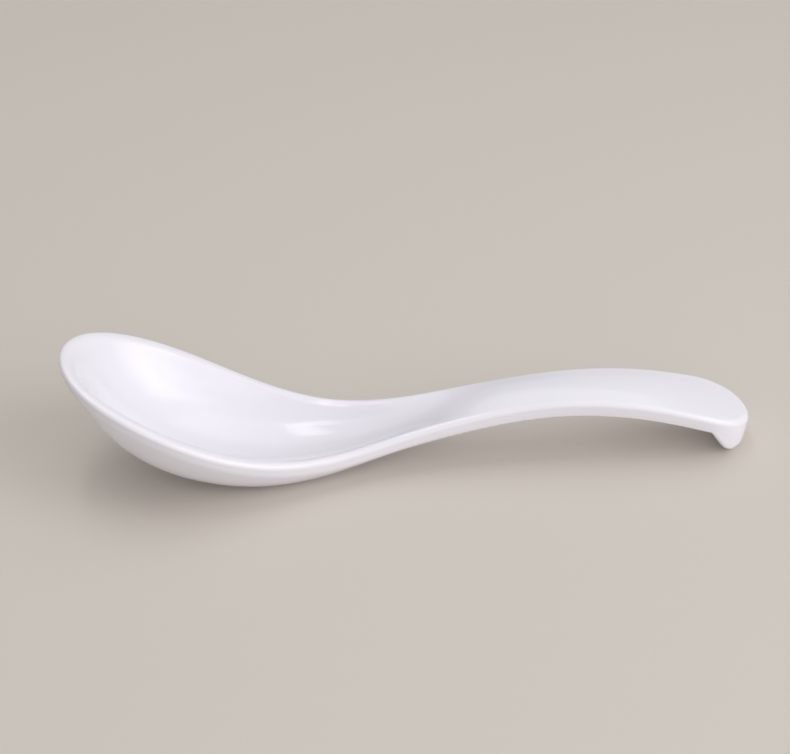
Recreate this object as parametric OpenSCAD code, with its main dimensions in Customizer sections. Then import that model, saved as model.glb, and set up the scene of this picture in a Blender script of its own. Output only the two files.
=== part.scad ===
// Hook-handled soup spoon. One moulding, held as its three named regions:
// the bowl, the arched handle and the turned-down hook at the handle's end.
// X runs from the bowl's tip to the handle's end and is 0 half way along, the spoon
// is symmetric about Y = 0, Z points up, and it rests at Z = 0 on its foot and hook.
// The shape is lofted through cross sections, as a boat is through its frames.

/* [Overall] */
// Length from the bowl's tip to the end of the handle
spoon_len = 170; // [164:1:185]
// Gap between the cross sections that shape the bowl and neck
section_gap = 16; // [15:0.25:17]
// Distance of the handle's first cross section from the handle's end
grip_back = 50; // [46:1:54]
// Distance of the handle's second cross section from the handle's end
palm_back = 25; // [22:1:28]

/* [Width seen from above] */
// Width of the front of the bowl, before the tip rounds it off
front_w = 44.8; // [40:0.2:48]
// Width of the bowl at its widest
bowl_w = 45.6; // [42:0.2:50]
// Width where the bowl starts to narrow
shoulder_w = 39.4; // [35:0.2:43]
// Width half way along the narrowing
taper_w = 28.8; // [25:0.2:33]
// Width at the throat, where the hollow turns into the channel
throat_w = 20; // [17:0.2:23]
// Width at the neck
neck_w = 16.4; // [14:0.2:19]
// Width of the handle past the neck
grip_w = 16; // [14:0.2:19]
// Width of the handle where it is held
palm_w = 19.6; // [17:0.2:22]
// Width of the handle's end, before its rounding
end_w = 23.4; // [20:0.2:26]
// Length of the bowl's rounded front
tip_len = 30; // [26:0.5:34]
// Fullness of the rounded front, 2 is an ellipse
tip_fullness = 2.6; // [2:0.1:3.2]
// Length of the handle's rounded end
end_len = 14.3; // [13.5:0.1:17]
// Fullness of the handle's rounded end, 2 is an ellipse
end_fullness = 2.5; // [2:0.1:3.2]

/* [Height of the rim line] */
// Height of the rim at the tip
tip_h = 34.4; // [31:0.2:37]
// Height of the rim at the front of the bowl
front_h = 26.8; // [25:0.2:28.6]
// Height of the rim where the bowl is widest
bowl_h = 18.7; // [17.5:0.1:20]
// Height of the rim at the shoulder
shoulder_h = 11.9; // [11.5:0.1:12]
// Height of the rim at its lowest
taper_h = 9.1; // [8.8:0.1:9.3]
// Height of the rim at the throat
throat_h = 10.8; // [10:0.1:12]
// Height of the rim at the neck
neck_h = 14; // [13:0.2:15]
// Height of the handle's edge near the crest of its arch
grip_h = 17.3; // [15.1:0.2:20.1]
// Height of the handle's edge where it is held
palm_h = 15.3; // [13.5:0.2:17.5]
// Height of the handle's edge at its end
end_h = 8.2; // [7.4:0.1:9.4]

/* [Depth of the underside below the rim line] */
// Depth just behind the tip
prow_d = 11.5; // [10.5:0.1:12.5]
// Depth at the front of the bowl
front_d = 15.7; // [15:0.1:17]
// Depth where the bowl is widest
bowl_d = 15.8; // [15:0.1:16.6]
// Depth at the shoulder, enough for the foot to be cut flat
shoulder_d = 12.2; // [12.1:0.1:12.8]
// Depth where the rim is lowest
taper_d = 8.5; // [8.3:0.1:9]
// Depth at the throat
throat_d = 6.2; // [5.8:0.1:6.8]
// Depth at the neck
neck_d = 5.5; // [5:0.1:6]
// Thickness of the handle below its edge
handle_t = 4.4; // [3.8:0.1:5.2]

/* [Depth of the hollow below the rim line] */
// Hollow just behind the tip
prow_hollow = 6.4; // [5.5:0.1:7]
// Hollow at the front of the bowl
front_hollow = 11.8; // [11:0.1:12.2]
// Hollow where the bowl is widest
bowl_hollow = 12.4; // [11.5:0.1:12.8]
// Hollow at the shoulder
shoulder_hollow = 8.9; // [8.2:0.1:9.2]
// Hollow where the rim is lowest
taper_hollow = 4.8; // [4.3:0.1:5.2]
// Hollow at the throat
throat_hollow = 2.5; // [2:0.1:2.9]
// Channel at the neck, where it runs out
neck_hollow = 0.1; // [0:0.1:1]
// Rise of the handle's crowned top above its edge
crown = 0.4; // [0.2:0.1:0.8]

/* [Edges] */
// Share of the channel's slope that its rim takes on, 1 leaves no lip
rim_lean = 0.7; // [0:0.05:1]
// Width of the rim, from the outer face to the inner lip
rim_w = 3.3; // [2.8:0.1:4]
// Height of the upright band under the bowl's rim
band_h = 3.1; // [2.6:0.1:3.6]
// Lean of the band and of the handle's sides, in degrees
draft = 4; // [1:0.5:8]
// Rounding of the rim's outer edge
rim_round = 1.4; // [0.8:0.1:1.6]
// Rounding of the inner lip
lip_round = 1.2; // [0.6:0.1:1.4]
// Rounding of the inner lip at the tip, where it is soft
tip_lip_round = 3; // [1.2:0.1:3.6]
// Rounding of the lower edge
edge_round = 1; // [0.6:0.1:1.3]
// Fullness of the underside's cross section, 2 is a plain curve, more is boxier
under_fullness = 4; // [2.5:0.1:5]
// Fullness of the hollow's cross section
hollow_fullness = 2.8; // [2.2:0.1:4]
// Length behind the tip over which the cross section fills out
fill_len = 14; // [10:0.5:20]

/* [Hook] */
// Length of the hook along the handle, measured back from the end
hook_len = 11.6; // [11.2:0.1:12.6]
// Length over which the hook's inner face comes down
hook_face = 7.1; // [6:0.1:7.6]
// How soon the inner face comes down, 1 is an even S and less is sooner
hook_turn = 0.7; // [0.6:0.05:1]
// Lean of the hook's outer face, in degrees
hook_draft = 9; // [4:0.5:12]
// Rounding of the hook's lower edge
hook_round = 1.9; // [1.5:0.1:2.3]

/* [Mesh] */
// Sections round the tip
tip_steps = 20; // [12:1:24]
// Sections along the bowl behind the tip
bowl_steps = 30; // [16:1:34]
// Sections along the handle up to the hook
handle_steps = 24; // [14:1:28]
// Sections from the start of the hook's inner face to the fan of the end
face_steps = 6; // [4:1:8]
// Sections round the handle's end
end_steps = 14; // [10:1:18]

/* [Hidden] */

// Length of the bowl region, which ends square at the neck
bowl_len = 6 * section_gap;
grip_x = spoon_len - grip_back;
palm_x = spoon_len - palm_back;
hook_x = spoon_len - hook_len;
prow_x = section_gap / 2;
// Length of the handle's end that is lofted as a fan
fan_len = 6.6;

// Points on one side of a cross section: the underside, the lower edge, the rim's
// outer edge, the inner lip and the hollow
under_steps = 8;
edge_steps = 2;
round_steps = 3;
lip_steps = 2;
hollow_steps = 8;
// Number of the point where the lower edge runs into the upright side
side_point = under_steps + edge_steps;

// Curves through the sections: a natural cubic spline, level at its end if asked

function spline_row(p, level_end, i, last) =
    i == 0 ? [0, 0]
    : let (back = p[i][0] - p[i - 1][0],
           rise = (p[i][1] - p[i - 1][1]) / back)
      i < len(p) - 1
      ? let (ahead = p[i + 1][0] - p[i][0],
             turn = 6 * ((p[i + 1][1] - p[i][1]) / ahead - rise),
             pivot = 2 * (back + ahead) - back * last[0])
        [ahead / pivot, (turn - back * last[1]) / pivot]
      : level_end
      ? [0, (-6 * rise - back * last[1]) / (back * (2 - last[0]))]
      : [0, 0];

function spline_rows(p, level_end, done = []) =
    len(done) == len(p)
    ? done
    : spline_rows(p, level_end,
                  concat(done, [spline_row(p, level_end, len(done), done[len(done) - 1])]));

function spline_bends(rows, i, found) =
    i < 0 ? found
    : spline_bends(rows, i - 1, concat([rows[i][1] - rows[i][0] * found[0]], found));

function spline(p, level_end = false) =
    let (rows = spline_rows(p, level_end), last = len(p) - 1)
    [p, spline_bends(rows, last - 1, [rows[last][1]])];

function along(curve, x) =
    let (p = curve[0],
         bend = curve[1],
         i = len([for (k = [1:len(p) - 2]) if (p[k][0] <= x) k]),
         gap = p[i + 1][0] - p[i][0],
         b = (min(x, p[len(p) - 1][0]) - p[i][0]) / gap,
         a = 1 - b)
    a * p[i][1] + b * p[i + 1][1]
    + ((a ^ 3 - a) * bend[i] + (b ^ 3 - b) * bend[i + 1]) * gap ^ 2 / 6;

half_curve = spline([
    [0, front_w / 2],
    [section_gap, front_w / 2],
    [2 * section_gap, bowl_w / 2],
    [3 * section_gap, shoulder_w / 2],
    [4 * section_gap, taper_w / 2],
    [5 * section_gap, throat_w / 2],
    [6 * section_gap, neck_w / 2],
    [grip_x, grip_w / 2],
    [palm_x, palm_w / 2],
    [spoon_len, end_w / 2]]);

rim_curve = spline([
    [0, tip_h],
    [section_gap, front_h],
    [2 * section_gap, bowl_h],
    [3 * section_gap, shoulder_h],
    [4 * section_gap, taper_h],
    [5 * section_gap, throat_h],
    [6 * section_gap, neck_h],
    [grip_x, grip_h],
    [palm_x, palm_h],
    [spoon_len, end_h]]);

under_curve = spline([
    [0, band_h],
    [prow_x, prow_d],
    [section_gap, front_d],
    [2 * section_gap, bowl_d],
    [3 * section_gap, shoulder_d],
    [4 * section_gap, taper_d],
    [5 * section_gap, throat_d],
    [6 * section_gap, neck_d],
    [grip_x, handle_t]], true);

hollow_curve = spline([
    [rim_w, 0],
    [prow_x, prow_hollow],
    [section_gap, front_hollow],
    [2 * section_gap, bowl_hollow],
    [3 * section_gap, shoulder_hollow],
    [4 * section_gap, taper_hollow],
    [5 * section_gap, throat_hollow],
    [6 * section_gap, neck_hollow],
    [grip_x, -crown],
    [palm_x, -crown],
    [spoon_len - rim_w, 0]]);

// Sizes at a distance x from the tip

// 0 before the start, 1 past the end, and an even S between
function ease(t) =
    let (u = min(max(t, 0), 1))
    u * u * (3 - 2 * u);

function half_width(x) = along(half_curve, x);

function rim_z(x) = along(rim_curve, x);

// The band grows from the bowl's rim to the whole thickness of the handle
function band(x) = band_h + (handle_t - band_h) * ease((x - 4 * section_gap) / (grip_x - 4 * section_gap));

// How boxy a cross section is: a plain curve at the tip, filling out behind it
function fullness(x, most) = 2 + (most - 2) * ease(x / fill_len);

// Share of the full width that the rounded tip and the rounded end leave
function rounding(u, power) = sqrt(max(1 - u ^ power, 0));

// Half width of the outline when it is drawn in by an inset
function inset_half(x, inset) =
    let (past_end = x - spoon_len + end_len,
         share = x < tip_len ? rounding((tip_len - x) / (tip_len - inset), tip_fullness)
                 : past_end > 0 ? rounding(past_end / (end_len - inset), end_fullness)
                 : 1)
    (half_width(x) - inset) * share;

// Share of the way across, from 0 on the centre line to 1 on the drawn-in outline
function across(x, y, inset) =
    let (half = inset_half(x, inset))
    half > 0.001 ? min(y / half, 1) : 1;

// Height of the underside, without the hook, cut flat at the foot
function under_z(x, y, inset) =
    let (keel = rim_z(x) - along(under_curve, x),
         edge = rim_z(x) - band(x),
         share = across(x, y, inset) ^ fullness(x, under_fullness))
    max(keel + (edge - keel) * share, 0);

// The hollow is boxy and the handle's crowned top is a plain curve
function top_fullness(x) =
    fullness(x, hollow_fullness)
    + (2 - hollow_fullness) * ease((x - 3 * section_gap) / (3 * section_gap));

// Height above the rim line of the hollow and of the handle's top, inside the rim
function top_rise(x, y) =
    -along(hollow_curve, x) * (1 - across(x, y, rim_w) ^ top_fullness(x));

// Share of the way down to the rest surface that the hook reaches
function hook_share(x) = ease((max(x - hook_x, 0) / hook_face) ^ hook_turn);

// Ribs: a rib is [region, place]. Along the spoon a rib is a plain cross section and
// its place is its distance from the tip. Round the tip and round the end the ribs fan
// out, and the place runs from 0 on the centre line to 1 on the nearest plain rib

TIP = 0;
MIDDLE = 1;
END = 2;

// Where a rib crosses the outline drawn in by an inset: [x, half width]
function on_rib(rib, inset) =
    let (x = rib[0] == TIP ? inset + (tip_len - inset) * rib[1] ^ 2
             : rib[0] == END ? spoon_len - inset - (fan_len - inset) * rib[1] ^ 2
             : rib[1],
         half = inset_half(x, inset))
    [x, half > 0.0001 ? half : 0];

// Inset at which a rib meets the centre line
function centre_inset(rib) =
    rib[0] == TIP ? tip_centre(rib)
    : rib[0] == END ? fan_len
    : min(half_width(rib[1]), spoon_len - rib[1]);

// Round the tip the inset is found by trying again with the width met there
function tip_centre(rib, guess = 22, turns = 8) =
    turns == 0 ? guess : tip_centre(rib, half_width(on_rib(rib, guess)[0]), turns - 1);

// Three-point curve from a by way of b to c, as [inset, z] points
function blend(a, b, c, steps) =
    [for (k = [0:steps])
        let (t = k / steps)
        (1 - t) ^ 2 * a + 2 * t * (1 - t) * b + t ^ 2 * c];

// Steps from a to b that close up toward b
function closing(a, b, steps) =
    [for (k = [0:steps - 1])
        a + (b - a) * (1 - (1 - k / steps) ^ 1.3)];

// Lower part of a cross section from the centre line to the upright side, as
// [inset, z] points, either plain or carried down into the hook
function lower_side(rib, hooked) =
    let (plain = function (inset)
             let (p = on_rib(rib, inset))
             under_z(p[0], p[1], tan(draft) * band(p[0])),
         low = function (inset)
             plain(inset) * (hooked ? 1 - hook_share(on_rib(rib, inset)[0]) : 1),
         edge_in = tan(draft) * band(on_rib(rib, 0)[0]),
         drop = plain(edge_in) - low(edge_in),
         foot_in = edge_in + tan(hook_draft) * drop,
         soft = edge_round + (hook_round - edge_round) * ease(drop / 3),
         probe = 0.05,
         slope = (low(foot_in) - low(foot_in + probe)) / probe,
         start = foot_in + soft / norm([1, slope]),
         on_face = min(soft, drop),
         finish = [foot_in - tan(hook_draft) * on_face - tan(draft) * (soft - on_face),
                   low(foot_in) + soft])
    concat([for (inset = closing(centre_inset(rib), start, under_steps)) [inset, low(inset)]],
           blend([start, low(start)], [foot_in, low(foot_in)], finish, edge_steps));

// Upper part: the rim's outer rounding, the inner lip and the hollow or crowned top.
// The rim is level round the bowl. It leans in with the slope of the channel, and where
// the top is crowned it carries the crown's slope on down to the rounding
function upper_side(rib) =
    let (rise = function (inset)
             let (p = on_rib(rib, inset))
             top_rise(p[0], p[1]),
         probe = 0.05,
         x = on_rib(rib, rim_w)[0],
         lip_slope = rise(rim_w + probe) / probe,
         lean = lip_slope > 0 ? lip_slope
                : lip_slope * rim_lean * ease((x - 3 * section_gap) / (2 * section_gap)),
         last_turn = 90 - atan(lean),
         last_inset = rim_round * (1 - cos(last_turn)),
         top = function (inset)
             rim_z(on_rib(rib, inset)[0]) - rim_round * (1 - sin(last_turn))
             + lean * (min(inset, rim_w) - last_inset) + rise(max(inset, rim_w)),
         slope = (top(rim_w) - top(rim_w + probe)) / probe,
         soft = lip_round + (tip_lip_round - lip_round) * (1 - ease(x / fill_len)),
         outer = rim_w - min(soft, rim_w - last_inset),
         inner = rim_w + soft / norm([1, slope]),
         centre = centre_inset(rib))
    concat([for (k = [0:round_steps])
                let (turn = last_turn * k / round_steps,
                     inset = rim_round * (1 - cos(turn)))
                [inset, rim_z(on_rib(rib, inset)[0]) - rim_round * (1 - sin(turn))]],
           blend([outer, top(outer)], [rim_w, top(rim_w)], [inner, top(inner)], lip_steps),
           [for (k = [1:hollow_steps])
                let (inset = inner + (centre - inner) * (1 - (1 - k / hollow_steps) ^ 0.8))
                [inset, top(inset)]]);

// A point of a cross section in space, on the side of -Y
function in_space(rib, p, on_centre) =
    let (q = on_rib(rib, p[0]))
    [q[0] - spoon_len / 2, on_centre ? 0 : -q[1], p[1]];

// Whole cross section, once round: out along the underside on the -Y side, back
// over the rim to the centre line, and the same on the +Y side
function section(rib) =
    let (side = concat(lower_side(rib, false), upper_side(rib)),
         last = len(side) - 1,
         near = [for (k = [0:last]) in_space(rib, side[k], k == 0 || k == last)])
    concat(near, [for (k = [last - 1:-1:1]) [near[k][0], -near[k][1], near[k][2]]]);

// Two triangles of a mesh square, mirrored from one half of the spoon to the other
function square_faces(a, b, c, d, far_half) =
    far_half ? [[a, b, d], [b, c, d]] : [[a, b, c], [a, c, d]];

// Triangles that still have three different corners
function real_faces(faces) =
    [for (f = faces) if (f[0] != f[1] && f[1] != f[2] && f[2] != f[0]) f];

// Solid through a row of sections. Where the row starts at the tip or finishes at
// the end the two halves close on the centre line, elsewhere a flat face closes it
module loft(ribs) {
    sections = [for (rib = ribs) section(rib)];
    rows = len(sections);
    ring = len(sections[0]);
    closes_first = ribs[0][0] == TIP;
    closes_last = ribs[rows - 1][0] == END;
    // The ribs of the end's fan all meet on the centre line of the rib before it
    hub = len([for (rib = ribs) if (rib[0] != END) rib]) - 1;
    corner = function (i, j)
        let (k = j % ring,
             row = k == 0 || k == ring / 2 ? min(i, hub) : i,
             seam = i == 0 && closes_first || i == rows - 1 && closes_last)
        row * ring + (seam && k > ring / 2 ? ring - k : k);
    // The diagonals lean one way below and the other way above, and none of them
    // joins two corners on the centre line
    skin = real_faces([
        for (i = [0:rows - 2])
        for (j = [0:ring - 1])
        let (far_half = j >= ring / 2,
             k = far_half ? ring - 1 - j : j)
        each square_faces(corner(i, j), corner(i, j + 1), corner(i + 1, j + 1),
                          corner(i + 1, j), far_half != (k >= side_point))]);
    first_cap = closes_first ? [] : [[for (j = [ring - 1:-1:0]) j]];
    last_cap = closes_last ? [] : [[for (j = [0:ring - 1]) (rows - 1) * ring + j]];
    polyhedron([for (s = sections) each s], concat(skin, first_cap, last_cap));
}

// Ribs from the foot of the neck to the hook, down the hook's face and round the end
neck_ribs = [for (k = [0:bowl_steps])
    [MIDDLE, tip_len + (bowl_len - tip_len) * k / bowl_steps]];
handle_ribs = [for (k = [0:handle_steps - 1])
    [MIDDLE, bowl_len + (hook_x - bowl_len) * k / handle_steps]];
end_ribs = concat(
    [for (k = [0:face_steps]) [MIDDLE, hook_x + (hook_len - fan_len) * k / face_steps]],
    [for (k = [end_steps - 1:-1:0]) [END, k / end_steps]]);

module bowl() {
    tip_ribs = [for (k = [0:tip_steps - 1]) [TIP, k / tip_steps]];
    color("whitesmoke") loft(concat(tip_ribs, neck_ribs));
}

module handle() {
    color("whitesmoke") loft(concat(handle_ribs, end_ribs));
}

// The hook fills the space between the handle's plain underside and the surface
// that comes down to the rest surface. The two share their corners wherever they
// meet, so the hook fits the handle face to face
module hook() {
    last = len(end_ribs) - 1;
    reach = side_point + 1;
    strip = 2 * reach + 1;
    // Corner numbers: i counts the ribs, s the points across from -reach to reach
    corner = function (i, s, layer)
        let (row = s == 0 ? min(i, face_steps) : i,
             side = i == last ? -abs(s) : s)
        (layer * (last + 1) + row) * strip + reach + side;
    top = function (i, s) corner(i, min(max(s, -side_point), side_point), 0);
    bottom = function (i, s) i == 0 || abs(s) == reach ? top(i, s) : corner(i, s, 1);
    skin = [
        for (i = [0:last - 1])
        for (s = [-reach:reach - 1])
        each concat(
            square_faces(bottom(i, s), bottom(i, s + 1), bottom(i + 1, s + 1),
                         bottom(i + 1, s), s < 0),
            [for (f = square_faces(top(i, s), top(i, s + 1), top(i + 1, s + 1),
                                   top(i + 1, s), s < 0))
                [f[2], f[1], f[0]]])];
    corners = [
        for (hooked = [false, true])
        for (rib = end_ribs)
        let (side = lower_side(rib, hooked))
        for (s = [-reach:reach])
        let (k = min(abs(s), side_point),
             p = in_space(rib, side[k], k == 0))
        [p[0], s < 0 ? -p[1] : p[1], p[2]]];
    color("whitesmoke") polyhedron(corners, real_faces(skin));
}

bowl();
handle();
hook();
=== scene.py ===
"""The looks of the hook-handled soup spoon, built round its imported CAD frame.

The moulding is lofted again from the sizes that the CAD source holds, with many more
sections and with smooth normals, as three closed pieces that stand for the CAD's three
nodes. The spoon's lengths are in millimetres until its points reach Blender, which has
metres. The textures, the floor and the lights are in metres from the start.
"""
import math

import bpy
import numpy as np
from mathutils import Matrix, Vector


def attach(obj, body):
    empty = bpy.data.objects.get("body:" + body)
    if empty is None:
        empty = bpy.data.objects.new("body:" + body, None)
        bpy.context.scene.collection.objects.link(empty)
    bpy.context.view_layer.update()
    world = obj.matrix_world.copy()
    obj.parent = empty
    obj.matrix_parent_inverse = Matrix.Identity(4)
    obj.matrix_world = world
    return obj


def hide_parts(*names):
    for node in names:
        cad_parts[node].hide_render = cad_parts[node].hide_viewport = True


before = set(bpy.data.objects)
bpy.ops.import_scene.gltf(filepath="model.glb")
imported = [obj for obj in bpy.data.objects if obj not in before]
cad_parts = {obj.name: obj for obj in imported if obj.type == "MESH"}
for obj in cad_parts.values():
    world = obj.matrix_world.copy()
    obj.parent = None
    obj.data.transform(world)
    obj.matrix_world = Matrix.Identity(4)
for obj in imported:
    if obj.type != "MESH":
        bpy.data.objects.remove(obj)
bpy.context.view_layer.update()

MM = 0.001
IMAGE_WIDTH = 790

# The spoon's sizes. X runs from 0 at the bowl's tip to the handle's end. Cross sections
# stand a GAP apart along the bowl and the neck, and at GRIP_X and PALM_X on the handle.
SPOON_LEN = 170.0
GAP = 16.0
BOWL_LEN = 6 * GAP
GRIP_X = SPOON_LEN - 50.0
PALM_X = SPOON_LEN - 25.0
TIP_LEN, TIP_FULLNESS = 30.0, 2.6
END_LEN, END_FULLNESS = 14.3, 2.5

# The rim, the upright band under it, and the handle that the band thickens into
RIM_W, RIM_LEAN = 3.3, 0.7
BAND_H, HANDLE_T, CROWN = 3.1, 4.4, 0.4
LEAN = math.tan(math.radians(4.0))
RIM_ROUND, LIP_ROUND, TIP_LIP_ROUND, EDGE_ROUND = 1.4, 1.2, 3.0, 1.0
UNDER_FULLNESS, HOLLOW_FULLNESS, FILL_LEN = 4.0, 2.8, 14.0

# The hook, and the length from the end over which the ribs fan out
HOOK_LEN, HOOK_FACE, HOOK_TURN, HOOK_ROUND = 11.6, 7.1, 0.7, 1.9
HOOK_LEAN = math.tan(math.radians(9.0))
HOOK_X = SPOON_LEN - HOOK_LEN
FAN_LEN = 6.6

# How far apart two points are set to measure a slope. A half width below LEAST is taken
# as none, and one below THINNEST has no room for a curve across it.
PROBE = 0.05
THINNEST, LEAST = 1e-3, 1e-4


class Curve:
    """A cubic spline through its points: natural, or level at its far end."""

    def __init__(self, points, level_end=False):
        self.x, self.y = np.array(points, float).T
        n = len(self.x)
        rows, right = np.eye(n), np.zeros(n)
        gap = np.diff(self.x)
        slope = np.diff(self.y) / gap
        for i in range(1, n - 1):
            rows[i, i - 1 : i + 2] = gap[i - 1], 2 * (gap[i - 1] + gap[i]), gap[i]
            right[i] = 6 * (slope[i] - slope[i - 1])
        if level_end:
            rows[-1, -2:] = gap[-1], 2 * gap[-1]
            right[-1] = -6 * slope[-1]
        self.bend = np.linalg.solve(rows, right)

    def __call__(self, x):
        x = np.minimum(x, self.x[-1])
        i = np.clip(np.searchsorted(self.x, x, side="right") - 1, 0, len(self.x) - 2)
        gap = self.x[i + 1] - self.x[i]
        b = (x - self.x[i]) / gap
        a = 1 - b
        bends = (a**3 - a) * self.bend[i] + (b**3 - b) * self.bend[i + 1]
        return a * self.y[i] + b * self.y[i + 1] + bends * gap**2 / 6


# The four lines that shape the spoon, each through its named stations along X: half its
# width seen from above, the height of its rim line, and how deep the underside and the
# hollow lie below the rim line
half_width = Curve(
    [(0, 22.4), (GAP, 22.4), (2 * GAP, 22.8), (3 * GAP, 19.7), (4 * GAP, 14.4),
     (5 * GAP, 10.0), (6 * GAP, 8.2), (GRIP_X, 8.0), (PALM_X, 9.8), (SPOON_LEN, 11.7)]
)
rim_z = Curve(
    [(0, 34.4), (GAP, 26.8), (2 * GAP, 18.7), (3 * GAP, 11.9), (4 * GAP, 9.1),
     (5 * GAP, 10.8), (6 * GAP, 14.0), (GRIP_X, 17.3), (PALM_X, 15.3), (SPOON_LEN, 8.2)]
)
under_depth = Curve(
    [(0, BAND_H), (GAP / 2, 11.5), (GAP, 15.7), (2 * GAP, 15.8), (3 * GAP, 12.2),
     (4 * GAP, 8.5), (5 * GAP, 6.2), (6 * GAP, 5.5), (GRIP_X, HANDLE_T)],
    level_end=True,
)
hollow_depth = Curve(
    [(RIM_W, 0), (GAP / 2, 6.4), (GAP, 11.8), (2 * GAP, 12.4), (3 * GAP, 8.9),
     (4 * GAP, 4.8), (5 * GAP, 2.5), (6 * GAP, 0.1), (GRIP_X, -CROWN), (PALM_X, -CROWN),
     (SPOON_LEN - RIM_W, 0)]
)


def ease(t):
    """0 before 0, 1 after 1, and an even S between."""
    u = np.clip(t, 0, 1)
    return u * u * (3 - 2 * u)


def band(x):
    """Height of the upright side: a band under the bowl's rim, the handle's side after."""
    return BAND_H + (HANDLE_T - BAND_H) * ease((x - 4 * GAP) / (GRIP_X - 4 * GAP))


def fullness(x, most):
    """Fullness of a cross section, which fills out behind the tip. 2 is an ellipse."""
    return 2 + (most - 2) * ease(x / FILL_LEN)


def rounding(u, power):
    """Share of the half width left at u, from 0 where a rounded end starts to 1."""
    return np.sqrt(np.maximum(1 - np.clip(u, 0, None) ** power, 0))


def part_of(length, whole):
    """A length as a share of a whole that may have shrunk to nothing."""
    return length / np.maximum(whole, 1e-9)


def inset_half(x, inset):
    """Half width of the outline when it is drawn in by an inset."""
    at_tip = rounding(part_of(TIP_LEN - x, TIP_LEN - inset), TIP_FULLNESS)
    past_end = x - SPOON_LEN + END_LEN
    at_end = rounding(part_of(past_end, END_LEN - inset), END_FULLNESS)
    share = np.where(x < TIP_LEN, at_tip, np.where(past_end > 0, at_end, 1.0))
    half = (half_width(x) - inset) * share
    return np.where(half > LEAST, half, 0.0)


def across(x, y, inset):
    """Where y lies between the centre line, 0, and the inset outline, 1."""
    half = inset_half(x, inset)
    return np.where(half > THINNEST, np.minimum(y / np.maximum(half, THINNEST), 1), 1.0)


def under_z(x, y):
    """Height of the underside without the hook, cut flat at the foot."""
    keel = rim_z(x) - under_depth(x)
    edge = rim_z(x) - band(x)
    share = across(x, y, LEAN * band(x)) ** fullness(x, UNDER_FULLNESS)
    return np.maximum(keel + (edge - keel) * share, 0)


def top_rise(x, y):
    """Height above the rim line of the hollow and of the handle's crowned top. The hollow
    is boxy and the crowned top is a plain curve."""
    plainer = (2 - HOLLOW_FULLNESS) * ease((x - 3 * GAP) / (3 * GAP))
    share = across(x, y, RIM_W) ** (fullness(x, HOLLOW_FULLNESS) + plainer)
    return -hollow_depth(x) * (1 - share)


def hook_share(x):
    """How far the underside has come down to the rest surface along the hook."""
    return ease((np.maximum(x - HOOK_X, 0) / HOOK_FACE) ** HOOK_TURN)


# Kinds of rib, and the steps that a half section takes over each of its stretches
TIP, MIDDLE, END = 0, 1, 2
UNDER_STEPS, EDGE_STEPS, SIDE_STEPS = 26, 6, 3
ROUND_STEPS, LIP_STEPS, HOLLOW_STEPS = 8, 6, 28

# Points crowd towards the edge under the spoon, and towards the lip in the hollow
UNDER_CROWDING, HOLLOW_CROWDING = 1.3, 0.8


class Ribs:
    """A row of ribs. Along the spoon a rib is a plain cross section at its distance from
    the tip; round the tip and the end the ribs fan out, from 0 on the centre line to 1."""

    def __init__(self, rows):
        self.kind = np.array([k for k, _ in rows])[:, None]
        self.place = np.array([p for _, p in rows], float)[:, None]
        self.centre = self.centre_insets()

    def choose(self, tip, middle, end):
        """One value for each rib, by its kind."""
        return np.where(self.kind == TIP, tip, np.where(self.kind == END, end, middle))

    def at(self, inset):
        """Where the ribs cross the outline drawn in by an inset: x and half width."""
        fan = self.place**2
        x = self.choose(
            inset + (TIP_LEN - inset) * fan,
            self.place,
            SPOON_LEN - inset - (FAN_LEN - inset) * fan,
        )
        return x, inset_half(x, inset)

    def centre_insets(self):
        """Inset at which each rib meets the centre line. Round the tip it is found by
        going from a guess to where the half width equals it, again and again."""
        guess, rounds = 22.0, 20
        tip = np.full_like(self.place, guess)
        for _ in range(rounds):
            tip = half_width(tip + (TIP_LEN - tip) * self.place**2)
        middle = np.minimum(half_width(self.place), SPOON_LEN - self.place)
        return self.choose(tip, middle, FAN_LEN)


def blend(a, b, c, steps):
    """Three-point curve from a by way of b to c. Each is a pair of (ribs, 1) columns."""
    t = np.linspace(0, 1, steps + 1)[None, :]
    weights = (1 - t) ** 2, 2 * t * (1 - t), t**2
    return [sum(w * p[k] for w, p in zip(weights, (a, b, c))) for k in (0, 1)]


def lower_side(ribs, hooked):
    """Insets and heights from the centre line out to the upright side."""

    def plain(inset):
        x, y = ribs.at(inset)
        return under_z(x, y)

    def low(inset):
        x, _ = ribs.at(inset)
        return plain(inset) * ((1 - hook_share(x)) if hooked else 1)

    # Where the underside would meet the upright side in a sharp edge: the foot of the
    # side, which leans more where it runs down the hook
    edge_in = LEAN * band(ribs.at(0 * ribs.place)[0])
    drop = plain(edge_in) - low(edge_in)
    foot_in = edge_in + HOOK_LEAN * drop
    # The rounding there grows from the handle's edge to the hook's over a short drop
    growth_drop = 3
    soft = EDGE_ROUND + (HOOK_ROUND - EDGE_ROUND) * ease(drop / growth_drop)
    slope = (low(foot_in) - low(foot_in + PROBE)) / PROBE
    start = foot_in + soft / np.hypot(1, slope)
    on_face = np.minimum(soft, drop)
    finish = (foot_in - HOOK_LEAN * on_face - LEAN * (soft - on_face), low(foot_in) + soft)
    t = np.arange(UNDER_STEPS)[None, :] / UNDER_STEPS
    inset = ribs.centre + (start - ribs.centre) * (1 - (1 - t) ** UNDER_CROWDING)
    curve = blend((start, low(start)), (foot_in, low(foot_in)), finish, EDGE_STEPS)
    return np.hstack([inset, curve[0]]), np.hstack([low(inset), curve[1]])


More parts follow.
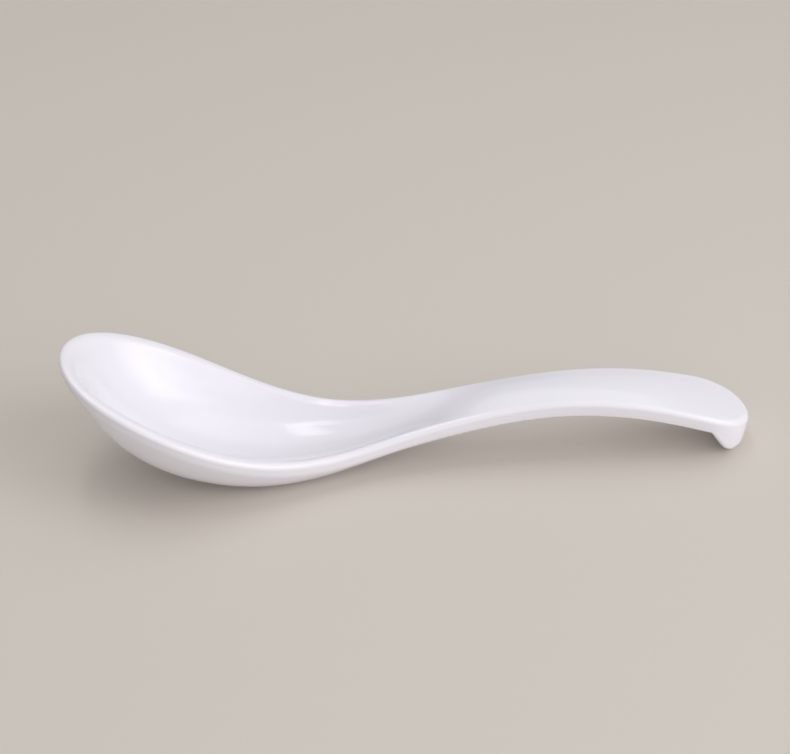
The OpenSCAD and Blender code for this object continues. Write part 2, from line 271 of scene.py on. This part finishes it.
def upper_side(ribs):
    """Insets and heights over the rim's rounding, the lip and the hollow, to the centre.
    The rim is level round the bowl. It leans in with the slope of the channel, and where
    the top is crowned it carries the crown's slope on down to the rounding."""

    def rise(inset):
        x, y = ribs.at(inset)
        return top_rise(x, y)

    rim = np.full_like(ribs.place, RIM_W)
    x = ribs.at(rim)[0]
    lip_slope = rise(rim + PROBE) / PROBE
    in_channel = RIM_LEAN * ease((x - 3 * GAP) / (2 * GAP))
    lean = lip_slope * np.where(lip_slope > 0, 1, in_channel)
    last_turn = math.pi / 2 - np.arctan(lean)
    last_inset = RIM_ROUND * (1 - np.cos(last_turn))

    def top(inset):
        edge = rim_z(ribs.at(inset)[0]) - RIM_ROUND * (1 - np.sin(last_turn))
        along_rim = np.minimum(inset, RIM_W) - last_inset
        return edge + lean * along_rim + rise(np.maximum(inset, RIM_W))

    slope = (top(rim) - top(rim + PROBE)) / PROBE
    soft = LIP_ROUND + (TIP_LIP_ROUND - LIP_ROUND) * (1 - ease(x / FILL_LEN))
    outer = rim - np.minimum(soft, RIM_W - last_inset)
    inner = rim + soft / np.hypot(1, slope)
    turn = last_turn * np.arange(ROUND_STEPS + 1)[None, :] / ROUND_STEPS
    arc = RIM_ROUND * (1 - np.cos(turn))
    arc_z = rim_z(ribs.at(arc)[0]) - RIM_ROUND * (1 - np.sin(turn))
    lip = blend((outer, top(outer)), (rim, top(rim)), (inner, top(inner)), LIP_STEPS)
    t = np.arange(1, HOLLOW_STEPS + 1)[None, :] / HOLLOW_STEPS
    hollow = inner + (ribs.centre - inner) * (1 - (1 - t) ** HOLLOW_CROWDING)
    return np.hstack([arc, lip[0], hollow]), np.hstack([arc_z, lip[1], top(hollow)])


def in_space(ribs, inset, z):
    """Points of the -Y half in space, in the CAD's frame, as an array (ribs, points, 3)."""
    x, y = ribs.at(inset)
    return np.stack([x - SPOON_LEN / 2, -y, z], axis=-1)


def mirrored(grid):
    """The same points on the other side of the spoon."""
    return grid * np.array([1, -1, 1])


class Skin:
    """Points and faces of one closed piece. A face is outer, or inner where the piece
    meets its neighbour face to face."""

    def __init__(self):
        self.points = []
        self.count = 0
        self.faces = []
        self.outer = []

    def add_points(self, grid):
        """Adds a (rows, columns, 3) grid and returns its point numbers."""
        rows, columns = grid.shape[:2]
        ids = self.count + np.arange(rows * columns).reshape(rows, columns)
        self.points.append(grid.reshape(-1, 3))
        self.count += rows * columns
        return ids

    def add_face(self, corners, outer):
        """Adds a face, without the corners that repeat, if enough are left for one."""
        kept = [c for k, c in enumerate(corners) if c != corners[k - 1]]
        if len(set(kept)) > 2:
            self.faces.append(kept)
            self.outer.append(outer)

    def add_grid(self, ids, outer, flip):
        """Faces between the rows and columns of point numbers."""
        for i in range(ids.shape[0] - 1):
            for j in range(ids.shape[1] - 1):
                corners = [ids[i, j], ids[i, j + 1], ids[i + 1, j + 1], ids[i + 1, j]]
                self.add_face(corners[::-1] if flip else corners, outer)


def run(kind, first, last, steps):
    """Ribs of one kind at even steps from a first place up to, and without, a last."""
    return [(kind, first + (last - first) * k / steps) for k in range(steps)]


def hub_of(rows):
    """Number of the last plain rib, whose centre the ribs round the end share."""
    return max(i for i, (kind, _) in enumerate(rows) if kind != END)


def loft(rows, plain_from=None):
    """The closed skin through a row of ribs, with the plain underside all along. Where it
    starts at the tip or finishes at the end its halves close on the centre line, and
    elsewhere an inner flat face closes it. From rib plain_from on the underside is inner."""
    ribs = Ribs(rows)
    lower = in_space(ribs, *lower_side(ribs, False))
    upper = in_space(ribs, *upper_side(ribs))
    near = np.concatenate([lower, upper], axis=1)
    near[:, 0, 1] = near[:, -1, 1] = 0
    side = lower.shape[1] - 1
    skin = Skin()
    near_ids = skin.add_points(near)
    far_ids = skin.add_points(mirrored(near))
    far_ids[:, 0], far_ids[:, -1] = near_ids[:, 0], near_ids[:, -1]
    closes_first, closes_last = rows[0][0] == TIP, rows[-1][0] == END
    hub = hub_of(rows)
    for ids in (near_ids, far_ids):
        ids[hub:, 0], ids[hub:, -1] = near_ids[hub, 0], near_ids[hub, -1]
    if closes_first:
        far_ids[0] = near_ids[0]
    if closes_last:
        far_ids[-1] = near_ids[-1]
    for ids, flip in ((near_ids, True), (far_ids, False)):
        if plain_from is None:
            skin.add_grid(ids, True, flip)
        else:
            skin.add_grid(ids[: plain_from + 1, : side + 1], True, flip)
            skin.add_grid(ids[plain_from:, : side + 1], False, flip)
            skin.add_grid(ids[:, side:], True, flip)
    for closed, row, flip in ((closes_first, 0, False), (closes_last, -1, True)):
        if not closed:
            ring = list(near_ids[row]) + list(far_ids[row, -2:0:-1])
            skin.add_face(ring[::-1] if flip else ring, False)
    return skin


def hook_skin(rows):
    """The closed skin of the hook: the surface that comes down to the rest surface, the
    upright face back up to the handle's side, and the inner face under the handle."""
    ribs = Ribs(rows)
    plain = in_space(ribs, *lower_side(ribs, False))
    hooked = in_space(ribs, *lower_side(ribs, True))
    plain[:, 0, 1] = hooked[:, 0, 1] = 0
    hooked[0] = plain[0]
    t = np.linspace(0, 1, SIDE_STEPS + 2)[None, 1:, None]
    upright = hooked[:, -1:] + (plain[:, -1:] - hooked[:, -1:]) * t
    outside = np.concatenate([hooked, upright], axis=1)
    skin = Skin()
    top_near = skin.add_points(plain)
    top_far = skin.add_points(mirrored(plain))
    out_near = skin.add_points(outside)
    out_far = skin.add_points(mirrored(outside))
    # The surfaces share their points where the hook starts, and along the handle's side
    last = plain.shape[1] - 1
    for top, out in ((top_near, out_near), (top_far, out_far)):
        out[:, -1] = top[:, -1]
        out[0, :last] = top[0, :last]
        out[0, last:] = top[0, last]
    # The halves share their points on the centre line
    hub = hub_of(rows)
    for near, far in ((top_near, top_far), (out_near, out_far)):
        far[:, 0] = near[:, 0]
        for ids in (near, far):
            ids[hub:, 0] = near[hub, 0]
        far[-1] = near[-1]
    for ids, outer, flip in (
        (out_near, True, True), (out_far, True, False),
        (top_near, False, False), (top_far, False, True),
    ):
        skin.add_grid(ids, outer, flip)
    return skin


# The ribs of each piece. The handle and the hook have the same ribs where they meet, so
# that they share their corners there.
TIP_ROWS, BOWL_ROWS, NECK_ROWS, FACE_ROWS, END_ROWS = 44, 60, 50, 14, 26
bowl_rows = run(TIP, 0.0, 1.0, TIP_ROWS) + run(MIDDLE, TIP_LEN, BOWL_LEN, BOWL_ROWS)
bowl_rows.append((MIDDLE, BOWL_LEN))
neck_rows = run(MIDDLE, BOWL_LEN, HOOK_X, NECK_ROWS)
face_rows = run(MIDDLE, HOOK_X, SPOON_LEN - FAN_LEN, FACE_ROWS)
fan_rows = run(END, 1.0, 0.0, END_ROWS)[1:] + [(END, 0.0)]
end_rows = face_rows + [(MIDDLE, SPOON_LEN - FAN_LEN)] + fan_rows

skins = {
    "bowl": loft(bowl_rows),
    "handle": loft(neck_rows + end_rows, plain_from=len(neck_rows)),
    "hook": hook_skin(end_rows),
}


def add_node(tree, kind, place, values):
    """A node at a place in the tree, with its input sockets set by name."""
    node = tree.nodes.new(kind)
    node.location = place
    for name, value in values.items():
        node.inputs[name].default_value = value
    return node


def add_noise(tree, height, scale, detail, roughness):
    """A noise texture over the object's own coordinates, with its scale in 1 / metres."""
    values = {"Scale": scale, "Detail": detail, "Roughness": roughness}
    place = add_node(tree, "ShaderNodeTexCoord", (-1400, height), {})
    noise = add_node(tree, "ShaderNodeTexNoise", (-1150, height), values)
    tree.links.new(place.outputs["Object"], noise.inputs["Vector"])
    return noise.outputs["Fac"]


# Melamine's two tones, the range of its gloss, and the noise value at each end of them
DEEPER_TONE, PALER_TONE = (0.89, 0.865, 0.935, 1), (0.91, 0.885, 0.955, 1)
GLOSSIEST, LEAST_GLOSSY = 0.09, 0.13
NOISE_LOW, NOISE_HIGH = 0.3, 0.7
MELAMINE_IOR = 1.5


def melamine():
    """Milky white moulded melamine: a deep even gloss with a faint orange peel, a little
    unevenness in tone, and the very fine haze of handling."""
    material = bpy.data.materials.new("melamine")
    material.use_nodes = True
    tree = material.node_tree
    link = tree.links.new
    shader = tree.nodes["Principled BSDF"]
    shader.inputs["IOR"].default_value = MELAMINE_IOR

    tone = add_node(tree, "ShaderNodeValToRGB", (-850, 250), {})
    ends = zip(tone.color_ramp.elements, (NOISE_LOW, NOISE_HIGH), (DEEPER_TONE, PALER_TONE))
    for element, position, color in ends:
        element.position = position
        element.color = color
    link(add_noise(tree, 250, 38.0, 4.0, 0.55), tone.inputs["Fac"])
    link(tone.outputs["Color"], shader.inputs["Base Color"])

    gloss = add_node(tree, "ShaderNodeMapRange", (-850, -50), {
        "From Min": NOISE_LOW, "From Max": NOISE_HIGH,
        "To Min": GLOSSIEST, "To Max": LEAST_GLOSSY,
    })
    link(add_noise(tree, -50, 210.0, 6.0, 0.6), gloss.inputs["Value"])
    link(gloss.outputs["Result"], shader.inputs["Roughness"])

    waves = {"Strength": 0.02, "Distance": 0.2 * MM}
    peel = add_node(tree, "ShaderNodeBump", (-500, -350), waves)
    link(add_noise(tree, -350, 420.0, 2.0, 0.5), peel.inputs["Height"])
    link(peel.outputs["Normal"], shader.inputs["Normal"])
    return material


def smooth_normals(skins):
    """Normals of the outer faces, averaged over all the pieces where their corners meet,
    so that no seam shows. Returns one array of normals for each piece's points."""
    same_place = 4
    everything = np.concatenate([np.concatenate(s.points) for s in skins.values()])
    _, shared = np.unique(np.round(everything, same_place), axis=0, return_inverse=True)
    shared = shared.reshape(-1)
    total = np.zeros((shared.max() + 1, 3))
    start = 0
    for skin in skins.values():
        points = np.concatenate(skin.points)
        for face, outer in zip(skin.faces, skin.outer):
            if outer:
                p = points[face]
                fan = range(1, len(p) - 1)
                normal = sum(np.cross(p[k] - p[0], p[k + 1] - p[0]) for k in fan)
                for corner in face:
                    total[shared[start + corner]] += normal
        start += len(points)
    length = np.maximum(np.linalg.norm(total, axis=1, keepdims=True), 1e-12)
    total = total / length
    out, start = {}, 0
    for name, skin in skins.items():
        out[name] = total[shared[start : start + skin.count]]
        start += skin.count
    return out


def build_piece(name, skin, normals, material):
    """A Blender object from a skin: smooth on its outer faces and flat on its inner ones."""
    points = np.concatenate(skin.points) * MM
    used = sorted({c for f in skin.faces for c in f})
    number = {c: k for k, c in enumerate(used)}
    mesh = bpy.data.meshes.new(name)
    mesh.from_pydata(
        [tuple(points[c]) for c in used], [], [[number[c] for c in f] for f in skin.faces]
    )
    mesh.polygons.foreach_set("use_smooth", skin.outer)
    corner_normals = []
    for face, polygon in zip(skin.faces, mesh.polygons):
        flat = tuple(polygon.normal)
        corner_normals += [tuple(normals[c]) if polygon.use_smooth else flat for c in face]
    mesh.normals_split_custom_set(corner_normals)
    mesh.materials.append(material)
    piece = bpy.data.objects.new(name, mesh)
    bpy.context.scene.collection.objects.link(piece)
    return piece


melamine_material = melamine()
normals = smooth_normals(skins)
for node_name, skin in skins.items():
    piece = build_piece("spoon_" + node_name, skin, normals[node_name], melamine_material)
    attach(piece, "root")
    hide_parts(node_name)


# The floor: a plain pale square at the rest surface
FLOOR_REACH, FLOOR_COLOR, FLOOR_ROUGHNESS = 3.0, (0.68, 0.63, 0.57, 1), 0.7


def floor_material():
    material = bpy.data.materials.new("pale_floor")
    material.use_nodes = True
    shader = material.node_tree.nodes["Principled BSDF"]
    shader.inputs["Base Color"].default_value = FLOOR_COLOR
    shader.inputs["Roughness"].default_value = FLOOR_ROUGHNESS
    return material


corners = (-1, -1), (1, -1), (1, 1), (-1, 1)
floor_mesh = bpy.data.meshes.new("floor")
floor_mesh.from_pydata(
    [(x * FLOOR_REACH, y * FLOOR_REACH, 0) for x, y in corners], [], [(0, 1, 2, 3)]
)
floor_mesh.materials.append(floor_material())
floor = bpy.data.objects.new("floor", floor_mesh)
bpy.context.scene.collection.objects.link(floor)


def softbox(name, direction, right, size, radiance, distance):
    """A rectangle of light that faces the spoon from a direction. Its width lies along
    right, as nearly as the direction lets it."""
    back = Vector(direction).normalized()
    across = (Vector(right) - Vector(right).dot(back) * back).normalized()
    up = back.cross(across)
    turned = Matrix((across, up, back)).transposed().to_4x4()
    light = bpy.data.lights.new(name, "AREA")
    light.shape = "RECTANGLE"
    light.size, light.size_y = size
    light.energy = radiance * math.pi * size[0] * size[1]
    lamp = bpy.data.objects.new(name, light)
    lamp.matrix_world = Matrix.Translation(distance * back) @ turned
    bpy.context.scene.collection.objects.link(lamp)


# The key light comes from the right and fades out from its middle, so it is rectangles
# one before the other. Two at the same distance would hide each other.
ALONG_X = (1, 0, 0)
KEY, KEY_RIGHT = (0.738, -0.426, 0.522), (0.633, 0.705, -0.319)
KEY_SIZES = (0.14, 0.4), (0.36, 0.7), (0.62, 0.92), (1.0, 1.1)
KEY_RADIANCE, KEY_DISTANCE, KEY_STEP = 0.8, 1.0, 0.03
for k, size in enumerate(KEY_SIZES):
    distance = KEY_DISTANCE + KEY_STEP * k
    softbox("key_" + str(k), KEY, KEY_RIGHT, size, KEY_RADIANCE, distance)

# Two broad soft lights, and two small ones overhead that make the gleams where the bowl
# meets the neck and inside the far rim
softbox("front", (0.19, -0.88, 0.44), ALONG_X, (1.2, 0.85), 0.95, 1.1)
softbox("ceiling", (0, 0.35, 0.94), ALONG_X, (1.4, 1.2), 0.58, 1.1)
softbox("strip", (-0.16, 0.2, 0.97), ALONG_X, (0.14, 0.6), 2.95, 1.0)
softbox("left", (-0.26, -0.07, 0.963), ALONG_X, (0.16, 0.2), 2.4, 1.03)

world = bpy.data.worlds.new("studio")
bpy.context.scene.world = world
world.use_nodes = True
sky = world.node_tree.nodes["Background"]
sky.inputs["Color"].default_value = (1, 1, 1, 1)
sky.inputs["Strength"].default_value = 0.335

# The camera that fits the photograph. It looks at AIM from its elevation, azimuth and
# distance, is moved sideways and up from there without turning, and its focal length is
# in the photograph's own pixels.
ELEVATION = math.radians(31.98)
AZIMUTH = math.radians(-5.89)
DISTANCE, SIDESTEP, RISE = 495.8, -4.34, 6.23
FOCAL_PIXELS = 2008.3
AIM = np.array([0.0, 0.0, 15.0])

back = np.array([
    math.sin(AZIMUTH) * math.cos(ELEVATION),
    -math.cos(AZIMUTH) * math.cos(ELEVATION),
    math.sin(ELEVATION),
])
right = np.array([math.cos(AZIMUTH), math.sin(AZIMUTH), 0.0])
up = np.cross(back, right)
spot = (AIM + DISTANCE * back + SIDESTEP * right + RISE * up) * MM
camera_data = bpy.data.cameras.new("camera")
camera_data.sensor_fit = "HORIZONTAL"
camera_data.sensor_width = 36.0
camera_data.lens = camera_data.sensor_width * FOCAL_PIXELS / IMAGE_WIDTH
camera_data.clip_start, camera_data.clip_end = 0.01, 20.0
camera = bpy.data.objects.new("camera", camera_data)
camera.matrix_world = Matrix((
    (right[0], up[0], back[0], spot[0]),
    (right[1], up[1], back[1], spot[1]),
    (right[2], up[2], back[2], spot[2]),
    (0, 0, 0, 1),
))
bpy.context.scene.collection.objects.link(camera)
bpy.context.scene.camera = camera

bpy.context.scene.view_settings.view_transform = "Standard"
